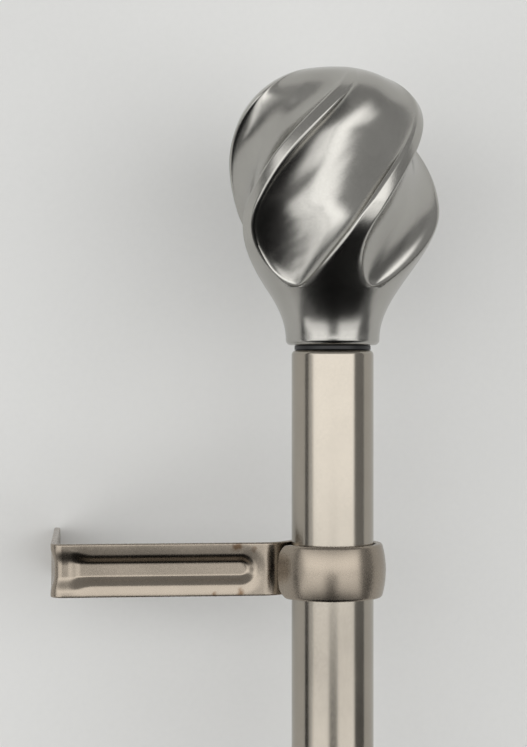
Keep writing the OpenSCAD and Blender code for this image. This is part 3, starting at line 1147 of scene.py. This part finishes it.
@dataclass
class StrapBracket:
    """A bracket pressed from one strip: wall plate, beaded arm, neck bend and bowed ring.

    The strip is followed from the plate's foot, and its face is the side away from the bead's bulge.
    """

    side: Side
    layout: Layout
    width: float = 16.5 * MM
    thick: float = 2 * MM
    ring_shift: float = 0.6 * MM
    ring_clear: float = 0.9 * MM
    crown: float = 1.2 * MM
    bow_before_ring: float = 4 * MM
    bow_over: float = 7 * MM
    lip_angle: float = math.radians(31)
    lip_len: float = 4.5 * MM
    neck_angle: float = math.radians(28)
    neck_r: float = 8 * MM
    wall_bend_r: float = 4 * MM
    foot_corner: float = 4 * MM
    lip_corner: float = 3.2 * MM
    bead_floor: float = 3.5 * MM
    bead_top: float = 9.6 * MM
    bead_depth: float = 2.3 * MM
    bead_depth_at_wall: float = 1.1 * MM
    bead_deepens_from: float = 1.5 * MM
    bead_deepens_over: float = 3.5 * MM
    bead_flare: float = 1.9 * MM
    bead_flare_run: float = 9 * MM
    bead_dish: float = 0.3
    bead_end: float = 27.65 * MM
    bead_drop: float = 8 * MM
    hole_r: float = 2.5 * MM
    hole_gap: float = 32 * MM
    screw_hole_r: float = 2 * MM
    edge_r: float = 0.45 * MM
    step: float = 0.55 * MM
    stations: list[Station] = field(default_factory=list)

    def __post_init__(self) -> None:
        """Finds the heights that the strip is bent at."""
        low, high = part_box(self.node)
        self.x = (low[0] + high[0]) / 2
        self.foot_z = low[2]
        self.ring_y = self.layout.axis_y + self.ring_shift
        self.ring_r = (self.layout.outer_r + self.ring_clear
                       + self.ring_shift / 2 + self.crown / 2 + self.thick / 2)
        reach = self.ring_r + self.neck_r
        self.neck_y = self.ring_y + reach * math.cos(self.neck_angle)
        self.neck_z = self.layout.axis_z - reach * math.sin(self.neck_angle)
        self.arm_z = self.neck_z + self.neck_r
        self.lengths: dict[str, Pair] = {}
        self.follow()

    @property
    def node(self) -> str:
        """The frame's node."""
        return self.side.word + "_bracket"

    def straight(self, name: str, start: Pair, end: Pair) -> None:
        """Adds a straight stretch of strip.

        Args:
            name: What to call it.
            start: Where its middle starts, as y and z.
            end: Where it ends.
        """
        a, b = Vector(start), Vector(end)
        along = (b - a).normalized()
        self.add(name, [(a.lerp(b, u), Vector((along.y, -along.x))) for u in self.shares((b - a).length)])

    def bend(self, name: str, centre: Pair, radius: float, start: float, end: float, outside: bool,
             fine: float = 1.0) -> None:
        """Adds a bend of the strip.

        Args:
            name: What to call it.
            centre: The bend's centre, as y and z.
            radius: The radius of the strip's middle.
            start: Where it starts, in radians from the wall's side upwards.
            end: Where it ends.
            outside: Whether the strip's face looks away from the centre.
            fine: How many times closer its stations lie than on a straight stretch.
        """
        out = []
        for u in self.shares(abs(end - start) * radius * fine):
            a = start + (end - start) * u
            ray = Vector((math.cos(a), math.sin(a)))
            out.append((Vector(centre) + ray * radius, ray if outside else -ray))
        self.add(name, out)

    def shares(self, length: float) -> list[float]:
        """Even steps from 0 to 1 along a length."""
        count = max(2, round(length / self.step))
        return [k / count for k in range(count + 1)]

    def add(self, name: str, places: list[tuple[Vector, Vector]]) -> None:
        """Adds stations, and notes how far along the strip a stretch runs.

        Args:
            name: The stretch's name.
            places: The middle and the face's direction at each station.
        """
        begun = self.stations[-1].run if self.stations else 0.0
        for middle, face in places:
            run = 0.0
            if self.stations:
                last = self.stations[-1]
                gap = math.hypot(middle.x - last.y, middle.y - last.z)
                if gap < 1e-7:
                    continue
                run = last.run + gap
            self.stations.append(Station(middle.x, middle.y, face.x, face.y, run))
        self.lengths[name] = (begun, self.stations[-1].run)

    def follow(self) -> None:
        """Follows the strip from the plate's foot to the lip that ends the ring."""
        half = self.thick / 2
        bend = self.wall_bend_r - half
        top = self.arm_z - bend
        self.straight("plate", (-half, self.foot_z), (-half, top))
        self.bend("wall bend", (-self.wall_bend_r, top), bend, 0.0, math.pi / 2, True, fine=3.0)
        self.straight("arm", (-self.wall_bend_r, self.arm_z), (self.neck_y, self.arm_z))
        self.bend("neck", (self.neck_y, self.neck_z), self.neck_r, math.pi / 2,
                  math.pi - self.neck_angle, True, fine=1.5)
        ring = (self.ring_y, self.layout.axis_z)
        end = self.lip_angle - 2 * math.pi
        self.bend("ring", ring, self.ring_r, -self.neck_angle, end, False, fine=1.1)
        tip = Vector(ring) + Vector((math.cos(end), math.sin(end))) * self.ring_r
        along = Vector((math.sin(end), -math.cos(end)))
        self.straight("lip", tuple(tip), tuple(tip + along * self.lip_len))

    @staticmethod
    def soft(u: float) -> float:
        """A soft step from 0 to 1."""
        c = min(1.0, max(0.0, u))
        return c * c * (3 - 2 * c)

    def bead_level(self, run: float, x: float) -> float:
        """How deep the bead is at a place on the strip.

        Args:
            run: How far along the strip.
            x: How far from its middle line.

        Returns:
            The depth.
        """
        arm_start, arm_end = self.lengths["arm"]
        far_end = arm_end - (self.bead_end - (self.neck_y - self.ring_y))
        near_end = self.lengths["plate"][1] + self.wall_bend_r - self.bead_drop
        beyond = max(0.0, run - far_end, near_end - run)
        off = math.hypot(x, beyond)
        share = self.soft((run - (arm_start + self.bead_deepens_from)) / self.bead_deepens_over)
        depth = self.bead_depth_at_wall + (self.bead_depth - self.bead_depth_at_wall) * share
        near_wall = 1 - self.soft((run - arm_start) / self.bead_flare_run)
        half_top = self.bead_top / 2 + self.bead_flare * near_wall
        half_floor = self.bead_floor / 2
        wall = self.soft((half_top - off) / (half_top - half_floor))
        reach = max(half_top, self.width / 2)
        dish = self.soft((reach - off) / (reach - half_floor))
        return depth * (wall * (1 - self.bead_dish) + dish * self.bead_dish)

    def bow(self, run: float, x: float) -> float:
        """How far the strip's middle is pushed away from the rod at a place."""
        start = self.lengths["ring"][0]
        share = self.soft((run - (start - self.bow_before_ring)) / self.bow_over)
        return share * (self.crown / 2 - self.crown * (2 * x / self.width) ** 2)

    def half_width(self, run: float) -> float:
        """Half the strip's width, which narrows round its end corners."""
        total = self.stations[-1].run
        half = self.width / 2
        for gap, corner in ((run, self.foot_corner), (total - run, self.lip_corner)):
            if gap < corner:
                inward = math.sqrt(max(0.0, corner ** 2 - (corner - gap) ** 2))
                half = min(half, self.width / 2 - corner + inward)
        return half

    def columns(self) -> list[float]:
        """Shares across the strip, from -1 to 1, closer where the bead's floor has its corners."""
        marks = [self.bead_floor / self.width, self.bead_top / self.width]
        inner = [marks[0] * k / 5 for k in range(0, 6)]
        wall = [marks[0] + (marks[1] - marks[0]) * k / 11 for k in range(1, 12)]
        outer = [marks[1] + (1 - marks[1]) * k / 9 for k in range(1, 10)]
        half = inner + wall + outer
        return [-v for v in reversed(half[1:])] + half

    def section(self, station: Station) -> list[tuple[float, float, float]]:
        """The strip's closed section at a station.

        Args:
            station: The place.

        Returns:
            Points, across the face and back along the other side, with rounded edges.
        """
        half = self.half_width(station.run)
        flat = half - self.edge_r
        face, back = [], []
        for v in self.columns():
            x = v * flat
            level = -self.bead_level(station.run, x) - self.bow(station.run, x)
            face.append((x, level + self.thick / 2))
            back.append((x, level - self.thick / 2))
        edge_level = -self.bow(station.run, half) - self.bead_level(station.run, half)
        turn = [math.pi / 2 * k / 4 for k in range(1, 8)]
        straight = self.thick / 2 - self.edge_r
        right = [(flat + self.edge_r * math.sin(a), edge_level + straight
                  * (1 if math.cos(a) > 0.01 else -1 if math.cos(a) < -0.01 else 0)
                  + self.edge_r * math.cos(a)) for a in turn]
        left = [(-x, n) for x, n in reversed(right)]
        loop = face + right + back[::-1] + left
        return [(self.x + x, station.y + station.face_y * n, station.z + station.face_z * n) for x, n in loop]

    def strip(self) -> bpy.types.Mesh:
        """Sweeps the section along the strip.

        Returns:
            The closed mesh, without its holes.
        """
        stations = self.near_ends(self.stations)
        rows = [self.section(s) for s in stations]
        n = len(rows[0])
        faces = [[j * n + i, j * n + (i + 1) % n, (j + 1) * n + (i + 1) % n, (j + 1) * n + i]
                 for j in range(len(rows) - 1) for i in range(n)]
        face_n = len(self.columns())
        edge_n = (n - 2 * face_n) // 2
        for base, flip in ((0, False), ((len(rows) - 1) * n, True)):
            for cap in self.cap(face_n, edge_n):
                ring = [base + i for i in cap]
                faces.append(ring[::-1] if flip else ring)
        return from_faces([p for row in rows for p in row], faces)

    def near_ends(self, stations: list[Station]) -> list[Station]:
        """Adds stations close to both ends, where the corners are round."""
        out = list(stations)
        for corner, from_end in ((self.foot_corner, False), (self.lip_corner, True)):
            for k in range(1, 9):
                gap = corner * (1 - math.cos(math.pi / 2 * k / 9))
                a, b = (stations[-2], stations[-1]) if from_end else (stations[1], stations[0])
                way = Vector((a.y - b.y, a.z - b.z)).normalized()
                run = b.run + (-gap if from_end else gap)
                out.append(Station(b.y + way.x * gap, b.z + way.y * gap, b.face_y, b.face_z, run))
        return sorted(out, key=lambda s: s.run)

    @staticmethod
    def cap(face_n: int, edge_n: int) -> list[list[int]]:
        """Faces that close the section: quads between its two sides, and a fan at each edge."""
        back = face_n + edge_n
        total = 2 * (face_n + edge_n)
        quads = [[i, total - edge_n - 1 - i, total - edge_n - 2 - i, i + 1] for i in range(face_n - 1)]
        right = [face_n - 1, *range(face_n, back), back]
        left = [back + face_n - 1, *range(back + face_n, total), 0]
        return quads + [right[::-1], left[::-1]]

    def holes(self) -> list[bpy.types.Object]:
        """Cutters for the two wall screw holes and the set screw's hole."""
        deep = 4 * self.thick
        wall = [cylinder_cutter(Vector((self.x, -self.thick / 2, way * self.hole_gap / 2)),
                                Vector((0, 1, 0)), self.hole_r, deep) for way in (-1, 1)]
        under = Vector((self.x, self.layout.axis_y, self.layout.axis_z - self.ring_r))
        return wall + [cylinder_cutter(under, Vector((0, 0, 1)), self.screw_hole_r, deep)]

    def stains(self) -> tuple[tuple[float, float, float, float], ...]:
        """Where tarnish sits on the arm, near the neck.

        Returns:
            The place and the radius of each stain.
        """
        edge, start = self.width / 2, self.neck_y + 3 * MM
        spots = ((edge - 1 * MM, 5 * MM, 2.6 * MM), (edge - 2 * MM, 0.0, 1.6 * MM),
                 (1 * MM - edge, 4 * MM, 2.4 * MM), (0.6 * MM - edge, 12 * MM, 1.6 * MM))
        return tuple((self.x + across, start + along, self.arm_z, radius)
                     for across, along, radius in spots)

    def build(self, material: bpy.types.Material) -> None:
        """Makes the bracket in its node's place.

        Args:
            material: The plated finish.
        """
        strap = new_piece(self.node + "_pressing", self.strip())
        cut_with(strap, self.holes())
        settle(strap, self.node, Slot.STRAP, material, self.node)


# ---- the studio ----

@dataclass(frozen=True)
class Sky:
    """How strong the light is by direction: x along the rod, y to the wall, z up, from -1 to 1.

    Each pair holds where something begins and where it is full, so it may run either way.
    """

    room: float = 0.30
    panel: float = 1.75
    panel_at_wall: Pair = (0.95, 0.87)
    panel_at_front: Pair = (-0.86, -0.78)
    panel_behind: Pair = (-0.54, -0.38)
    panel_ahead: Pair = (0.46, 0.22)
    panel_low: Pair = (0.05, 0.2)
    bar_near: Pair = (-0.01, -0.05)
    bar_far: Pair = (-0.135, -0.11)
    bar_dim: float = 0.5
    weaker: Pair = (-0.17, -0.23)
    weaker_dim: float = 0.35
    notch_side: Pair = (0.30, 0.10)
    notch_near: Pair = (-0.03, -0.12)
    notch_dim: float = 0.8
    dark_end: Pair = (-0.50, -0.62)
    dark_at_wall: Pair = (0.72, 0.50)
    dark_at_front: Pair = (-0.78, -0.60)
    dark_dim: float = 0.95
    wall_side: Pair = (0.80, 0.92)
    wall_side_dim: float = 0.12
    window: float = 0.6
    window_low: Pair = (0.16, 0.24)
    window_high: Pair = (0.42, 0.34)
    behind: Pair = (-0.04, -0.12)
    behind_dim: float = 0.14
    ahead: Pair = (0.25, 0.6)
    ahead_light: float = 0.08

    def strength(self, x: Term, y: Term, z: Term, tilt: float) -> Term:
        """Works out the light from a direction.

        Args:
            x: Its part along the rod.
            y: Its part towards the wall.
            z: Its part upwards.
            tilt: How far the camera leans to the wall's side, which the dark notch follows.

        Returns:
            The strength.
        """
        off = (y - math.sin(tilt)).magnitude()
        panel = (y.step(*self.panel_at_wall) * y.step(*self.panel_at_front)
                 * x.step(*self.panel_behind) * x.step(*self.panel_ahead))
        bar = x.step(*self.bar_near) * x.step(*self.bar_far)
        panel = (panel * z.step(*self.panel_low) * (1.0 - bar * self.bar_dim)
                 * (1.0 - x.step(*self.weaker) * self.weaker_dim))
        notch = off.step(*self.notch_side) * x.step(*self.notch_near)
        dark = x.step(*self.dark_end) * y.step(*self.dark_at_wall) * y.step(*self.dark_at_front)
        beside = y.step(*self.wall_side)
        window = beside * z.step(*self.window_low) * z.step(*self.window_high)
        room = (self.room - x.step(*self.behind) * self.behind_dim + x.step(*self.ahead) * self.ahead_light
                - beside * self.wall_side_dim + window * self.window)
        return (room + panel * self.panel) * (1.0 - notch * self.notch_dim) * (1.0 - dark * self.dark_dim)


@dataclass
class Studio:
    """A pale floor, soft light from above and the camera."""

    layout: Layout
    tilt: float = math.radians(5.5)
    distance: float = 550 * MM
    ahead: float = -7.3 * MM
    towards_wall: float = 21.4 * MM
    lens: float = 85.5
    floor_gap: float = 0.4 * MM
    floor_half: float = 4.0
    light: Sky = Sky()

    def floor(self) -> None:
        """Lays a large plain sheet under the lowest point."""
        low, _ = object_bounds()
        z = low[2] - self.floor_gap
        half = self.floor_half
        points = [(-half, -half, z), (half, -half, z), (half, half, z), (-half, half, z)]
        mesh = bpy.data.meshes.new("floor")
        mesh.from_pydata(points, [], [(0, 1, 2, 3)])
        sheet = bpy.data.objects.new("floor", mesh)
        bpy.context.scene.collection.objects.link(sheet)
        mesh.materials.append(PALE_PAPER.build())
        sheet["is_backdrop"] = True

    def sky(self) -> None:
        """Lights the scene from a wide soft panel overhead, in a dim room with a dark side."""
        world = bpy.data.worlds.new("soft studio")
        world.use_nodes = True
        bpy.context.scene.world = world
        g = Graph(world.node_tree)
        x, y, z = g.split(g.node("ShaderNodeTexCoord").outputs["Generated"])
        seen = g.node("ShaderNodeLightPath").outputs["Is Camera Ray"]
        plain = g.node("ShaderNodeBackground")
        plain.inputs["Color"].default_value = (0.65, 0.65, 0.64, 1.0)
        lit = g.node("ShaderNodeBackground")
        lit.inputs["Color"].default_value = (1.0, 1.0, 0.99, 1.0)
        g.feed(lit.inputs["Strength"], self.light.strength(x, y, z, self.tilt))
        either = g.node("ShaderNodeMixShader")
        g.feed(either.inputs[0], seen)
        g.feed(either.inputs[1], lit.outputs[0])
        g.feed(either.inputs[2], plain.outputs[0])
        g.feed(g.node("ShaderNodeOutputWorld").inputs["Surface"], either.outputs[0])

    def camera(self) -> None:
        """Looks down on the outer tube's end, a little from the wall's side."""
        back = Vector((0.0, math.sin(self.tilt), math.cos(self.tilt)))
        left = Vector((0.0, math.cos(self.tilt), -math.sin(self.tilt)))
        aim = Vector((self.layout.right_end + self.ahead, self.layout.axis_y, self.layout.axis_z))
        place = aim + left * self.towards_wall + back * self.distance
        lens = bpy.data.cameras.new("camera")
        lens.lens = self.lens
        lens.sensor_width = 36.0
        lens.clip_start, lens.clip_end = 0.01, 20.0
        camera = bpy.data.objects.new("camera", lens)
        turn = Matrix((-left, Vector((1.0, 0.0, 0.0)), back)).transposed()
        camera.matrix_world = Matrix.Translation(place) @ turn.to_4x4()
        bpy.context.scene.collection.objects.link(camera)
        bpy.context.scene.camera = camera

    def build(self) -> None:
        """Sets up the floor, the light and the camera."""
        self.floor()
        self.sky()
        self.camera()
        bpy.context.scene.view_settings.view_transform = "Standard"


# ---- putting it together ----

def dress_node(name: str, material: bpy.types.Material) -> None:
    """Gives a node of the frame a better material.

    Args:
        name: The node.
        material: Its material.
    """
    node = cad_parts[name]
    for held in node.material_slots:
        held.material = material
    log.info("%s: dressed as %s", name, material.name)


def main() -> None:
    """Builds every sub-assembly in order."""
    logging.basicConfig(level=logging.INFO, format="%(name)s %(message)s")
    layout = Layout.measured()
    tube_wall, inner_wall = 0.9 * MM, 0.8 * MM

    Studio(layout).build()
    metal, cast, screw = TUBE_NICKEL.build(), CASTING_NICKEL.build(), SCREW_NICKEL.build()
    zinc, brass, moulded = BRIGHT_ZINC.build(), TURNED_BRASS.build(), BLACK_MOULDING.build()
    Tube(Side.RIGHT, layout, tube_wall).build(metal)
    Tube(Side.LEFT, layout, inner_wall).build(metal)
    MouthBush(layout, tube_wall).build(GREY_NYLON.build())
    for side, wall in ((Side.RIGHT, tube_wall), (Side.LEFT, inner_wall)):
        EndPlug(side, layout, wall).build(moulded)
        Stud(side, layout).build(zinc)
        Finial(side, layout).build(cast)
        SetScrew(side, layout).build(screw)
        bracket = StrapBracket(side, layout)
        name = side.word + "_" + STRAP_NICKEL.name
        bracket.build(replace(STRAP_NICKEL, name=name, stains=bracket.stains()).build())
        dress_node(side.word + "_nut", zinc)
        dress_node(side.word + "_insert", brass)
    dress_node("tube_glide", WHITE_NYLON.build())


if __name__ == "__main__":
    main()
